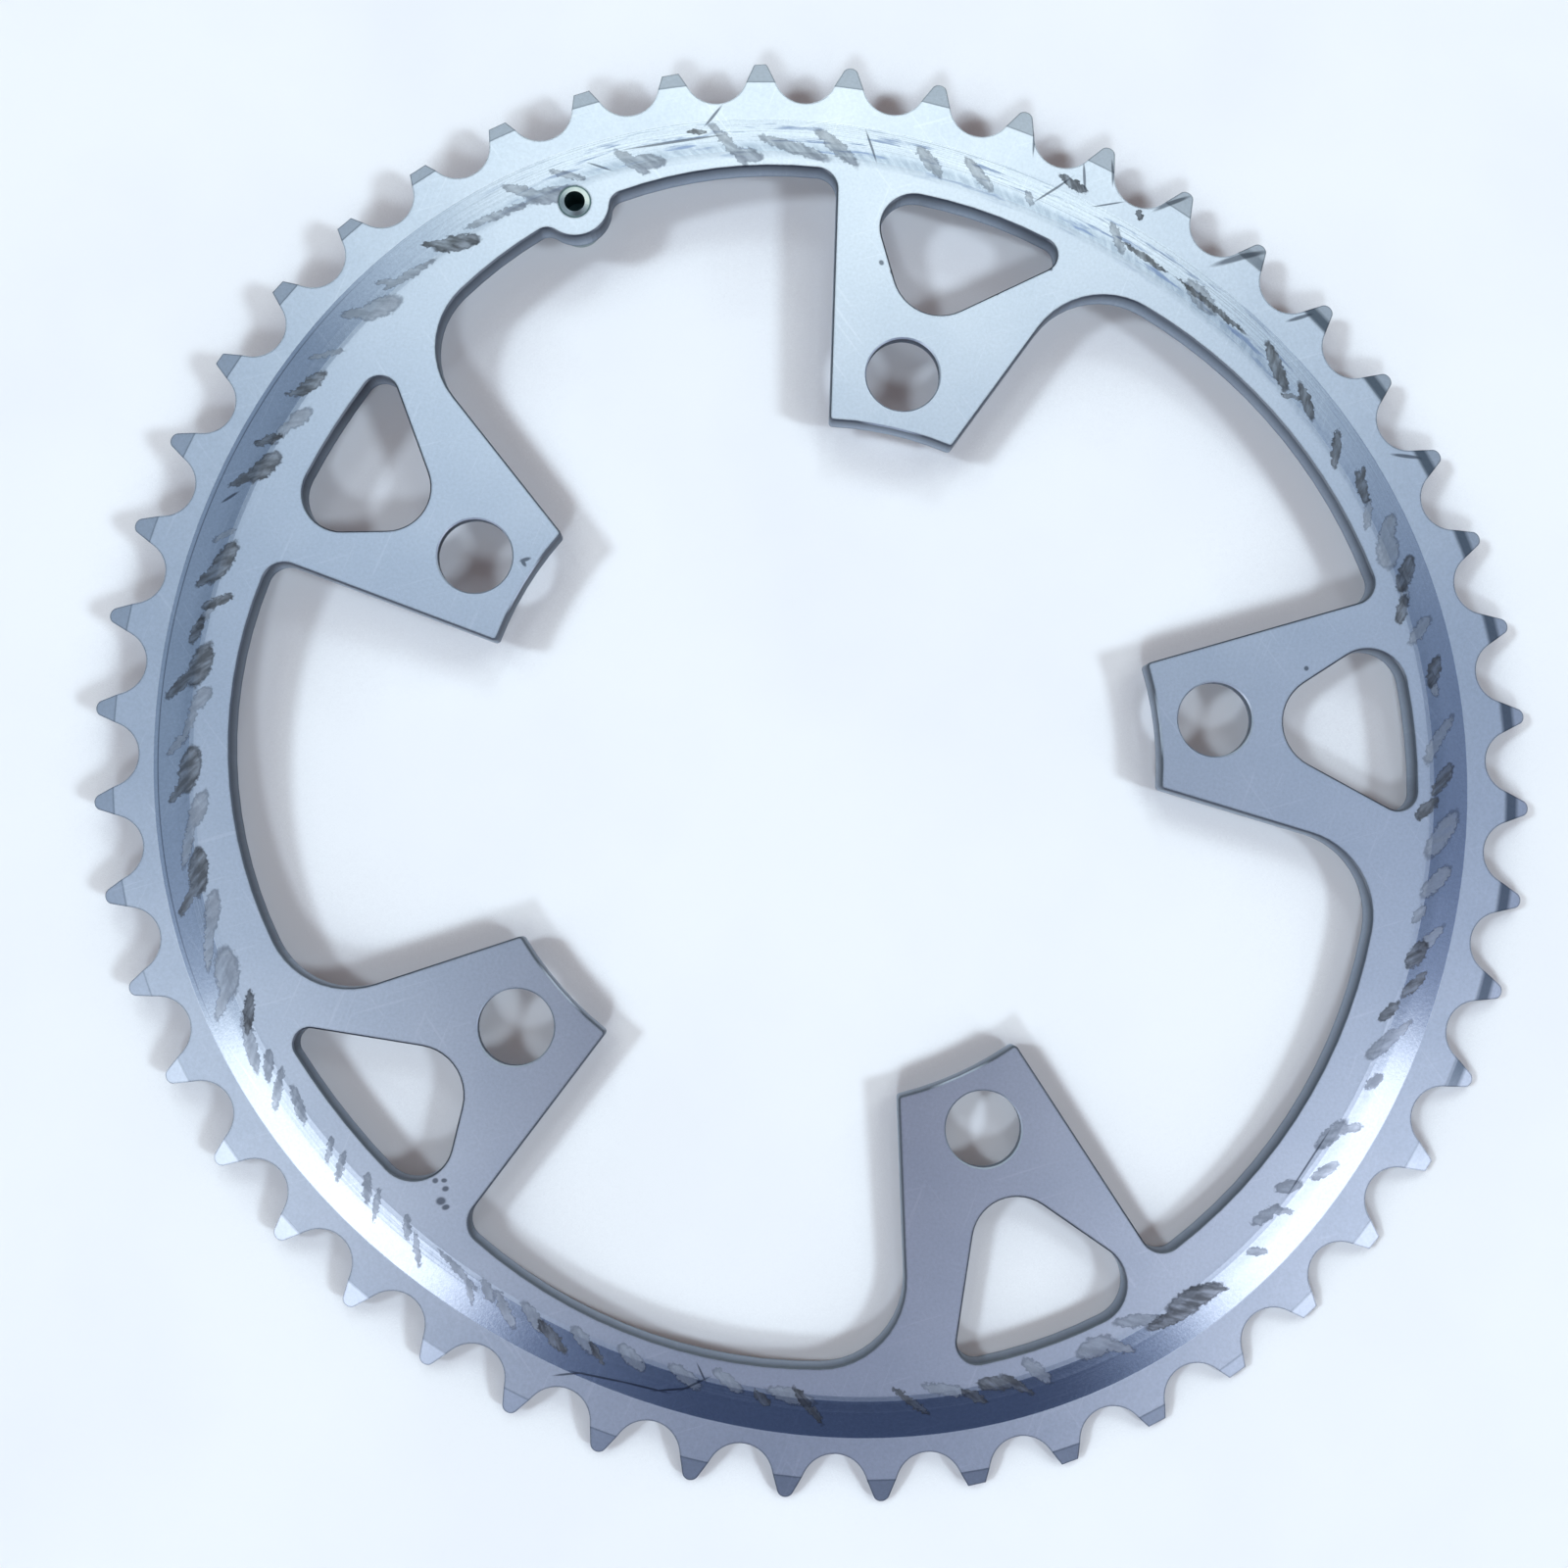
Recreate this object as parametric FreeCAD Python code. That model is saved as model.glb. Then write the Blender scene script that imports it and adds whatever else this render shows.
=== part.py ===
import FreeCAD, Part
import math
import os

os.makedirs("parts", exist_ok=True)

# Outer chainring of a bicycle crankset, with five arms, a non-round pitch curve and 48 teeth.
# Lengths are in millimetres and angles in degrees, anticlockwise from +X seen from +Z.
# The origin is the centre of the bolt circle on the inner face, the one that seats on the spider.
# +Z points out of the inner face. The outer face and the chain catch pin lie below it.

# Chain and pitch curve: a circle swollen twice and four times round, closed by whole chain pitches
TOOTH_COUNT = 48
CHAIN_PITCH = 12.7
FIRST_ROLLER_ANGLE = 4.63
LOBE_SWELL = 2.135
LOBE_ANGLE = 145.27
CORNER_SWELL = 0.72
CORNER_ANGLE = 126.12

# Teeth, measured from the pitch curve
SEAT_RADIUS = 4.5
SEAT_LIFT = 0.55
FLANK_ANGLE = 20.5
TOOTH_HEIGHT = 2.75
BLANK_RADIUS = 100.65
LOW_TOOTH_RADIUS = 99.9
LOW_TEETH = (13, 14, 38)

# Section through the rim, from the inner face down
WEB_THICKNESS = 3.2
TOOTH_THICKNESS = 2.1
BAND_DEPTH = 6.3
CONE_DEPTH = 9.8
CONE_SHOULDER = 0.3
WEB_DEPTH = 12.0
RELIEF_DEPTH = 0.85
RELIEF_RUN = 3.5
RELIEF_DROP = 1.2
TURNING_OFFSET = 0.37
TURNING_ANGLE = 220.0

# Arms, the same five times round
ARM_COUNT = 5
FIRST_ARM_ANGLE = 90.0
BOLT_CIRCLE = 110.0
BOLT_HOLE = 10.3
BOLT_RECESS = 13.0
BOLT_RECESS_DEPTH = 1.6
ARM_END_MARGIN = 7.8
ARM_END_LEFT = 8.8
ARM_END_RIGHT = 9.1
ARM_END_ROUND = 0.6

# Windows between the arms, clockwise. Each has the outward flare of the arm side before it and of
# the one after it, then three points of its outer edge as (angle, depth below the pitch curve).
WINDOWS = (
    (23.6, 10.4, ((64.0, 15.9), (48.0, 15.1), (33.0, 14.9))),
    (22.4, 9.2, ((-8.0, 18.0), (-24.0, 17.6), (-40.0, 17.8))),
    (21.8, 11.3, ((-79.0, 15.2), (-96.0, 14.1), (-113.0, 15.3))),
    (23.5, 9.8, ((-150.0, 18.3), (-167.0, 16.6), (-184.0, 17.1))),
    (21.4, 10.4, ((136.0, 16.8), (120.0, 14.7), (105.0, 13.8))),
)
WINDOW_WIDE_ROUND = 11.4
WINDOW_TIGHT_ROUND = 3.0

# Triangular holes outboard of the bolts. Each has three points of its outer edge as (angle
# clockwise from its arm, depth below the pitch curve), its inner corner as (sideways, distance
# beyond the bolt), how far its left and right sides lean from the arm's line, and the rounds of
# its inner, left and right corners as shares of its height.
TRIANGLES = (
    (((-1.4, 15.0), (4.3, 14.7), (11.5, 14.8)), (-0.2, 5.9), (27.8, 51.7), (0.33, 0.24, 0.12)),
    (((-1.6, 14.4), (3.1, 14.3), (8.9, 14.2)), (1.2, 3.1), (26.9, 34.4), (0.27, 0.22, 0.11)),
    (((-2.7, 14.7), (2.7, 14.7), (9.1, 14.7)), (1.9, 4.3), (31.8, 33.0), (0.24, 0.21, 0.11)),
    (((-1.6, 14.9), (5.1, 15.0), (12.2, 14.9)), (0.9, 6.5), (35.2, 50.9), (0.36, 0.27, 0.11)),
    (((-0.5, 17.5), (3.9, 17.5), (9.3, 17.4)), (1.3, 5.0), (31.6, 39.2), (0.29, 0.26, 0.12)),
)

# Chain catch pin, riveted in a tab midway between two arms
PIN_ANGLE = 126.0
PIN_DEPTH = 14.15
TAB_RADIUS = 5.0
TAB_ROOT_ROUND = 2.0
PIN_SHANK = 4.6
PIN_FIT = 0.02
PIN_BODY = 6.2
PIN_LENGTH = 5.4
PIN_END_CHAMFER = 0.4
PIN_BORE = 2.9
PIN_BORE_DEPTH = 4.0
PIN_HEAD = 0.15

# Break along the inner face's edges
EDGE_BREAK = 0.2

# Overrun of every cutting body past the faces it cuts
OVERRUN = 2.0

# Points through which each turned curve of the rim is drawn
RIM_STATIONS = 24

UP = FreeCAD.Vector(0, 0, 1)
STEP_HEIGHT = WEB_THICKNESS - TOOTH_THICKNESS


def polar(radius, angle, z=0.0):
    """Point at a distance and direction from the ring's centre."""
    turn = math.radians(angle)
    return FreeCAD.Vector(radius * math.cos(turn), radius * math.sin(turn), z)


def bisect(wanted, low, high):
    """Value between low and high at which the rising function wanted crosses zero."""
    for _ in range(50):
        middle = (low + high) / 2
        if wanted(middle) < 0:
            low = middle
        else:
            high = middle
    return (low + high) / 2


def curve_radius(angle, mean):
    """Radius of the pitch curve whose mean radius is given."""
    lobes = LOBE_SWELL * math.cos(math.radians(2 * (angle - LOBE_ANGLE)))
    corners = CORNER_SWELL * math.cos(math.radians(4 * (angle - CORNER_ANGLE)))
    return mean + lobes + corners


def roller_angles(mean):
    """Directions of the rollers, one chain pitch apart along the curve, with one beyond the last."""
    even = 360.0 / TOOTH_COUNT
    angles = [FIRST_ROLLER_ANGLE]
    for _ in range(TOOTH_COUNT):
        last = angles[-1]
        centre = polar(curve_radius(last, mean), last)

        def spare(angle):
            return (polar(curve_radius(angle, mean), angle) - centre).Length - CHAIN_PITCH

        angles.append(bisect(spare, last + 0.5 * even, last + 1.5 * even))
    return angles


def closed_mean():
    """Mean radius at which the last roller lands on the first."""
    circle = CHAIN_PITCH / (2 * math.sin(math.pi / TOOTH_COUNT))

    def gap(mean):
        return FIRST_ROLLER_ANGLE + 360.0 - roller_angles(mean)[-1]

    return bisect(gap, 0.95 * circle, 1.05 * circle)


MEAN_RADIUS = closed_mean()


def rim_point(angle, depth):
    """Point a given depth inside the pitch curve."""
    return polar(curve_radius(angle, MEAN_RADIUS) - depth, angle)


def arm_frame(index):
    """Outward and clockwise directions of an arm."""
    angle = FIRST_ARM_ANGLE - index * 360.0 / ARM_COUNT
    return polar(1, angle), polar(1, angle - 90)


def prism(edges, bottom, top):
    """Upright solid on a closed outline drawn at z = 0."""
    face = Part.Face(Part.Wire(edges))
    face.translate(UP * bottom)
    return face.extrude(UP * (top - bottom))


def polygon(points):
    """Straight edges through the points and back to the first."""
    ends = points[1:] + points[:1]
    return [Part.LineSegment(a, b).toShape() for a, b in zip(points, ends)]


def circle_through(first, second, third):
    """Centre and radius of the circle through three points of the plane."""
    circle = Part.Arc(first, second, third).toShape().Curve
    return circle.Center, circle.Radius


def tooth_outline():
    """Seats, flanks and rounded tips all the way round."""
    rollers = [polar(curve_radius(a, MEAN_RADIUS), a) for a in roller_angles(MEAN_RADIUS)[:-1]]
    edges = []
    sides = []
    slope = math.radians(FLANK_ANGLE)
    seats = []
    for i, roller in enumerate(rollers):
        along = rollers[(i + 1) % TOOTH_COUNT] - rollers[i - 1]
        outward = along.cross(UP).normalize()
        seats.append((roller + outward * SEAT_LIFT, outward))
    for i, roller in enumerate(rollers):
        after = rollers[(i + 1) % TOOTH_COUNT]
        across = (after - roller).normalize()
        axis = across.cross(UP)
        middle = (roller + after) / 2
        start = seats[i][0] + (across * math.cos(slope) - axis * math.sin(slope)) * SEAT_RADIUS
        end_seat = seats[(i + 1) % TOOTH_COUNT][0]
        end = end_seat - (across * math.cos(slope) + axis * math.sin(slope)) * SEAT_RADIUS
        reach = (middle - start).dot(across) / math.tan(slope) + (start - middle).dot(axis)
        tip_radius = (reach - TOOTH_HEIGHT) * math.sin(slope) / (1 - math.sin(slope))
        tip_centre = middle + axis * (TOOTH_HEIGHT - tip_radius)
        side = across * math.cos(slope) * tip_radius
        lift = axis * math.sin(slope) * tip_radius
        sides.append((start, tip_centre - side + lift, tip_centre + side + lift, end))
        edges.append(Part.Arc(tip_centre - side + lift, middle + axis * TOOTH_HEIGHT,
                              tip_centre + side + lift).toShape())
        edges.append(Part.LineSegment(start, tip_centre - side + lift).toShape())
        edges.append(Part.LineSegment(tip_centre + side + lift, end).toShape())
    for i, (seat, outward) in enumerate(seats):
        edges.append(Part.Arc(sides[i - 1][3], seat - outward * SEAT_RADIUS, sides[i][0]).toShape())
    return Part.__sortEdges__(edges)


def rim_curve(depth, z):
    """Closed curve a given depth inside the pitch curve, as turned, a little off centre."""
    shift = polar(TURNING_OFFSET, TURNING_ANGLE, z)
    stations = [360.0 * i / RIM_STATIONS for i in range(RIM_STATIONS)]
    curve = Part.BSplineCurve()
    curve.interpolate(Points=[rim_point(a, depth) + shift for a in stations], PeriodicFlag=True)
    return Part.Wire(curve.toShape())


def toothed_band():
    """Toothed plate, cut to the turned blank and thinned towards its tips on the inner side."""
    bottom = -WEB_THICKNESS
    band = prism(tooth_outline(), bottom, -STEP_HEIGHT)
    blank = Part.makeCylinder(BLANK_RADIUS, TOOTH_THICKNESS, UP * bottom)
    run_below = RELIEF_RUN * TOOTH_THICKNESS / RELIEF_DROP
    relief = Part.makeLoft([rim_curve(RELIEF_DEPTH - run_below, bottom),
                            rim_curve(RELIEF_DEPTH, -STEP_HEIGHT)], True, True)
    band = band.common(blank).common(relief)
    return band.cut(low_tooth_cutter())


def low_tooth_cutter():
    """Rings that shorten a few teeth, as wide as one tooth."""
    angles = roller_angles(MEAN_RADIUS)
    height = TOOTH_THICKNESS + 2 * OVERRUN
    base = UP * (-WEB_THICKNESS - OVERRUN)
    rings = []
    for tooth in LOW_TEETH:
        spread = angles[tooth + 1] - angles[tooth]
        outer = Part.makeCylinder(BLANK_RADIUS + OVERRUN, height, base, UP, spread)
        ring = outer.cut(Part.makeCylinder(LOW_TOOTH_RADIUS, height, base))
        ring.rotate(FreeCAD.Vector(), UP, angles[tooth])
        rings.append(ring)
    return Part.makeCompound(rings)


def raised_web():
    """Web that stands above the toothed band, with its coned border."""
    return Part.makeLoft([rim_curve(BAND_DEPTH, -STEP_HEIGHT),
                          rim_curve(CONE_DEPTH, -CONE_SHOULDER),
                          rim_curve(WEB_DEPTH, 0.0)], True, True)


def meeting(point, direction, centre, radius):
    """Point where a ray leaves a circle."""
    along = (centre - point).dot(direction)
    foot = point + direction * along
    return foot + direction * math.sqrt(radius ** 2 - (foot - centre).Length ** 2)


def rounded(solid, corner, radius):
    """Solid with the upright edge nearest to a corner rounded."""
    upright = [e for e in solid.Edges if e.tangentAt(e.FirstParameter).cross(UP).Length < 1e-6]

    def distance(edge):
        return edge.CenterOfMass.distanceToLine(corner, UP)

    return solid.makeFillet(radius, [min(upright, key=distance)])


def arm_side(index, right):
    """Start point at the arm's end and outward direction of one of its sides."""
    out, clockwise = arm_frame(index)
    flare = math.radians(WINDOWS[index][0] if right else -WINDOWS[index - 1][1])
    half = ARM_END_RIGHT if right else -ARM_END_LEFT
    start = out * (BOLT_CIRCLE / 2 - ARM_END_MARGIN) + clockwise * half
    return start, out * math.cos(flare) + clockwise * math.sin(flare)


def cutting_prism(corners, centre, radius):
    """Upright cutter inside both a polygon and a circle."""
    bottom, top = -WEB_THICKNESS - OVERRUN, OVERRUN
    cylinder = Part.makeCylinder(radius, top - bottom, centre + UP * bottom)
    return prism(polygon(corners), bottom, top).common(cylinder)


def window(index):
    """Cutter between an arm and the next one clockwise."""
    near, near_way = arm_side(index, True)
    far, far_way = arm_side((index + 1) % ARM_COUNT, False)
    centre, radius = circle_through(*[rim_point(a, d) for a, d in WINDOWS[index][2]])
    inward = BOLT_CIRCLE / 4
    outward = BLANK_RADIUS
    corners = [near - near_way * inward, near + near_way * outward,
               far + far_way * outward, far - far_way * inward]
    cutter = cutting_prism(corners, centre, radius)
    if index == ARM_COUNT - 1:
        cutter = spare_tab(cutter, centre, radius)
    cutter = rounded(cutter, meeting(near, near_way, centre, radius), WINDOW_WIDE_ROUND)
    return rounded(cutter, meeting(far, far_way, centre, radius), WINDOW_TIGHT_ROUND)


def spare_tab(cutter, centre, radius):
    """Window cutter that leaves the pin's tab standing, with rounded roots."""
    pin = rim_point(PIN_ANGLE, PIN_DEPTH)
    bottom, top = -WEB_THICKNESS - OVERRUN, OVERRUN
    cutter = cutter.cut(Part.makeCylinder(TAB_RADIUS, top - bottom, pin + UP * bottom))
    outward = (pin - centre).normalize()
    reach = (radius ** 2 - TAB_RADIUS ** 2 + (pin - centre).Length ** 2) / (2 * (pin - centre).Length)
    half = math.sqrt(radius ** 2 - reach ** 2)
    for side in (-half, half):
        corner = centre + outward * reach + outward.cross(UP) * side
        cutter = rounded(cutter, corner, TAB_ROOT_ROUND)
    return cutter


def central_opening():
    """Everything open inside the rim: the spider's bore and the five windows."""
    end_radius = BOLT_CIRCLE / 2 - ARM_END_MARGIN
    height = WEB_THICKNESS + 2 * OVERRUN
    opening = Part.makeCylinder(end_radius, height, UP * (-WEB_THICKNESS - OVERRUN))
    for index in range(ARM_COUNT):
        opening = opening.fuse(window(index))
    opening = opening.removeSplitter()
    for index in range(ARM_COUNT):
        for right in (False, True):
            start, way = arm_side(index, right)
            corner = meeting(start - way * end_radius / 2, way, FreeCAD.Vector(), end_radius)
            opening = rounded(opening, corner, ARM_END_ROUND)
    return opening


def triangle(index):
    """Cutter for the hole between an arm's bolt and the rim."""
    edge, (sideways, beyond), (lean_left, lean_right), rounds = TRIANGLES[index]
    out, clockwise = arm_frame(index)
    arm_angle = FIRST_ARM_ANGLE - index * 360.0 / ARM_COUNT
    centre, radius = circle_through(*[rim_point(arm_angle - a, d) for a, d in edge])
    inner = out * (BOLT_CIRCLE / 2 + beyond) + clockwise * sideways
    height = (meeting(inner, out, centre, radius) - inner).Length
    ways = []
    for lean in (-lean_left, lean_right):
        tilt = math.radians(lean)
        ways.append(out * math.cos(tilt) + clockwise * math.sin(tilt))
    corners = [inner, inner + ways[0] * BLANK_RADIUS, inner + ways[1] * BLANK_RADIUS]
    cutter = cutting_prism(corners, centre, radius)
    tips = [inner] + [meeting(inner, way, centre, radius) for way in ways]
    for tip, share in zip(tips, rounds):
        cutter = rounded(cutter, tip, share * height)
    return cutter


def bolt_hole(index):
    """Hole with a broken edge inside and a recess for the bolt's head outside."""
    centre = arm_frame(index)[0] * (BOLT_CIRCLE / 2)
    bottom = -WEB_THICKNESS - OVERRUN
    hole = Part.makeCylinder(BOLT_HOLE / 2, OVERRUN - bottom, centre + UP * bottom)
    edge = Part.makeCone(BOLT_HOLE / 2, BOLT_HOLE / 2 + 2 * EDGE_BREAK,
                         2 * EDGE_BREAK, centre - UP * EDGE_BREAK)
    recess = Part.makeCylinder(BOLT_RECESS / 2, BOLT_RECESS_DEPTH + OVERRUN, centre + UP * bottom)
    return hole.fuse([edge, recess])


def edges_broken(ring):
    """Ring with the inner face's edges broken round the opening and the triangles."""
    face = max(ring.Faces, key=lambda f: f.CenterOfMass.z)
    openings = [wire for wire in face.Wires if len(wire.Edges) > 1]
    outline = max(openings, key=lambda wire: wire.BoundBox.DiagonalLength)
    edges = [edge for wire in openings if wire is not outline for edge in wire.Edges]
    return ring.makeChamfer(EDGE_BREAK, edges)


def chainring():
    """The whole plate, in one piece."""
    ring = toothed_band().fuse(raised_web()).removeSplitter()
    ring = ring.cut(central_opening())
    for index in range(ARM_COUNT):
        ring = ring.cut(triangle(index)).cut(bolt_hole(index))
    pin = rim_point(PIN_ANGLE, PIN_DEPTH)
    bottom = -WEB_THICKNESS - OVERRUN
    ring = ring.cut(Part.makeCylinder(PIN_SHANK / 2 + PIN_FIT, OVERRUN - bottom, pin + UP * bottom))
    return edges_broken(ring)


def chain_catch_pin():
    """Stepped pin, turned from the solid, whose hollow end is flared in the tab."""
    shoulder = -WEB_THICKNESS
    end = shoulder - PIN_LENGTH
    shank, body, bore = PIN_SHANK / 2, PIN_BODY / 2, PIN_BORE / 2
    profile = [(bore, PIN_HEAD), (shank, 0.0), (shank, shoulder), (body, shoulder),
               (body, end + PIN_END_CHAMFER), (body - PIN_END_CHAMFER, end), (0.0, end),
               (0.0, PIN_HEAD - PIN_BORE_DEPTH), (bore, PIN_HEAD - PIN_BORE_DEPTH)]
    points = [FreeCAD.Vector(r, 0, z) for r, z in profile]
    pin = Part.Face(Part.Wire(polygon(points))).revolve(FreeCAD.Vector(), UP, 360)
    pin.translate(rim_point(PIN_ANGLE, PIN_DEPTH))
    return pin


def export(name, shape):
    """One solid per file."""
    shape.Solids[0].exportStep("parts/" + name + ".step")


export("chainring", chainring())
export("chain_catch_pin", chain_catch_pin())
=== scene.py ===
import math

import bpy
from mathutils import Matrix, Vector

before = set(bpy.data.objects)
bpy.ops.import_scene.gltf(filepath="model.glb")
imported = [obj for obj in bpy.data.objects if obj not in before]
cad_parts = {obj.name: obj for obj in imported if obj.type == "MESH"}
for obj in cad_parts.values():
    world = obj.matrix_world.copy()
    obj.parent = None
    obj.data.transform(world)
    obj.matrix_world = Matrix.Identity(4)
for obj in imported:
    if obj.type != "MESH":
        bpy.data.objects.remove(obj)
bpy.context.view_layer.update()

# Patterns on the metal are laid out in millimetres, and the scene is in metres
MM_PER_METRE = 1000.0
# What takes the height out of a place
FLATTENED = (1.0, 1.0, 0.0)
WHITE = (1.0, 1.0, 1.0, 1.0)

# The rim's pitch curve in millimetres and degrees, as in the part's source. Zones of the rim are
# told apart by their depth inside it.
MEAN_RADIUS = 97.02
LOBE_SWELL, LOBE_ANGLE = 2.135, 145.27
CORNER_SWELL, CORNER_ANGLE = 0.72, 126.12
TURNING_CENTRE = (-0.283, -0.238, 0.0)
FACET_DEPTH = 0.85
BAND_DEPTH = 6.3
WEB_DEPTH = 12.0
# The turned cone ends here, and the dulled shoulder lies over its end
CONE_END = WEB_DEPTH - 0.6
SHOULDER_START, SHOULDER_END = 9.9, 11.9
# A thin line that the turning tool left just inside the cone's foot
TOOL_LINE_START, TOOL_LINE_END = BAND_DEPTH + 0.55, BAND_DEPTH + 0.7
# Foot of the tooth tips' facets: its dark band, a painted reflection, reaches out over the facet, its
# thin line is short
FOOT_BAND_WIDTH, FOOT_LINE_WIDTH = 1.9, 0.2
FOOT_BAND_ANGLE = 22.0

# Bolt holes: radius of their circle, angle of the first, and the stretch round each one where the
# hole's edge is spared the painted edge shade and shows bright
BOLT_RADIUS = 55.0
BOLT_COUNT = 5
FIRST_BOLT_ANGLE = -54.0
BRIGHT_STRETCH = 12.0
# Reach of the painted edge shade over the faces, in metres
EDGE_REACH = 0.0004

# Pin: place, inner and outer radius of its dark rim, radius of its bore, and the bore's ends
PIN_ANGLE = 126.0
PIN_RADIUS = 85.26
PIN_RIM_INNER, PIN_RIM_OUTER = 2.1, 2.5
PIN_BORE_RADIUS = 1.6
PIN_BORE_BOTTOM, PIN_BORE_TOP = -9.0, 0.02

# Where the ring rests, in metres: on the pin's end on one side and on the rim across from it
PIN_REACH, PIN_END = 0.088, -0.0086
RIM_REACH, RIM_FACE = 0.097, -0.0032
TABLE_SIZE = 4.0

# The photograph's camera: place in metres, its right and up, and its lens in millimetres
CAMERA_PLACE = (-0.005908, -0.019915, 0.209053)
CAMERA_RIGHT = (0.976655, 0.213411, 0.024507)
CAMERA_UP = (-0.214622, 0.974229, 0.069389)
SENSOR_WIDTH, FOCAL_LENGTH = 36.0, 35.17

# The room that the metal mirrors. Its stops are places and shares of ROOM_LEVEL: round the
# horizon from straight left by the near side, the right and the far side, and overhead from the
# near side to the far side.
ROOM_LEVEL = 2.6
ROOM_SIDES = ((0.0, 0.2), (0.06, 0.2), (0.085, 0.3), (0.1, 0.95), (0.18, 1.0), (0.193, 0.4),
              (0.206, 0.12), (0.25, 0.045), (0.36, 0.045), (0.388, 0.18), (0.4, 0.55), (0.41, 1.0),
              (0.478, 0.95), (0.492, 0.2), (0.53, 0.13), (0.58, 0.15), (0.63, 0.28), (0.66, 0.47),
              (0.71, 0.88), (0.83, 0.85), (0.88, 0.4), (0.91, 0.18), (1.0, 0.2))
ROOM_CEILING = ((0.0, 0.12), (0.16, 0.13), (0.21, 0.55), (0.31, 0.92), (0.37, 0.78), (0.42, 0.55),
                (0.48, 0.44), (0.53, 0.22), (0.64, 0.27), (0.75, 0.34), (0.92, 0.8), (0.97, 2.15))
# Dark stops are bluer than bright ones: a power and a share for red and for blue
RED_POWER, RED_SHARE = 1.1, 0.98
BLUE_POWER, BLUE_SHARE = 0.82, 0.96
# Direction along which the ceiling's light changes, and the direction, ends and colours of a tint
CEILING_WAY = (-0.15, 0.98, 0.0)
TINT_WAY = (-0.5, 0.85, 0.0)
TINT_START, TINT_END = -0.35, 0.3
NEAR_TINT, FAR_TINT = (1.0, 0.98, 1.06, 1.0), (0.98, 1.0, 0.965, 1.0)
# A dark patch and a bright one overhead: where, how wide, and the share of the light left there,
# which is reached this near the middle
PATCH_FULL = 0.4
OVERHEAD_PATCHES = (((0.04, -0.07, 0.97), (0.32, 0.28, 1.0), (0.06, 0.02, 0.05, 1.0)),
                    ((-0.2, 0.17, 0.96), (0.18, 0.2, 1.0), (1.5, 1.5, 1.5, 1.0)))
# Plain light near the horizon, which only the views from the side reflect
HORIZON = (0.36, 0.38, 0.4, 1.0)
# Heights in the room, from 0 level to 1 overhead: the borders over which the sides take over from
# the horizon, and the ceiling from the sides
HORIZON_FOOT, HORIZON_TOP = 0.3, 0.42
CEILING_FOOT, CEILING_TOP = 0.82, 0.93
# The far side's share of light below its sill, the sill's border, and the far side's own border
BELOW_SILL = 0.34
SILL_FOOT, SILL_TOP = 0.5, 0.62
FAR_SIDE_START, FAR_SIDE_END = 0.4, 0.7

# Lamps that stand for the room's bright parts on the matt table, each by its azimuth and elevation
# in degrees and its strength, their colour and width in degrees, and the room's weak warm fill
TABLE_LAMPS = ((350.0, 43.5, 1.38), (90.0, 46.0, 0.3), (188.0, 46.0, 1.3), (270.0, 48.0, 0.95))
LAMP_COLOUR = (0.83, 0.99, 1.11)
LAMP_WIDTH = 10.0
TABLE_FILL = (0.22, 0.15, 0.13, 1.0)
# The table's faint glow, and its darkening next to the ring: how far that reaches in metres, and
# the share of open room at which it starts and is full
TABLE_GLOW = 0.03
SHADE_REACH = 0.02
SHADE_START, SHADE_FULL = 0.88, 0.76

# Roughness of the anodised flats and of the turned cone, and what wear adds
FLAT_ROUGHNESS, CONE_ROUGHNESS, WORN_ROUGHNESS = 0.32, 0.15, 0.22
# Relief of the grain and of the turned rings, as shares of the bump's distance, in metres
GRAIN_RELIEF, RING_RELIEF = -0.06, 0.12
BUMP_DISTANCE = 0.0002

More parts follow.
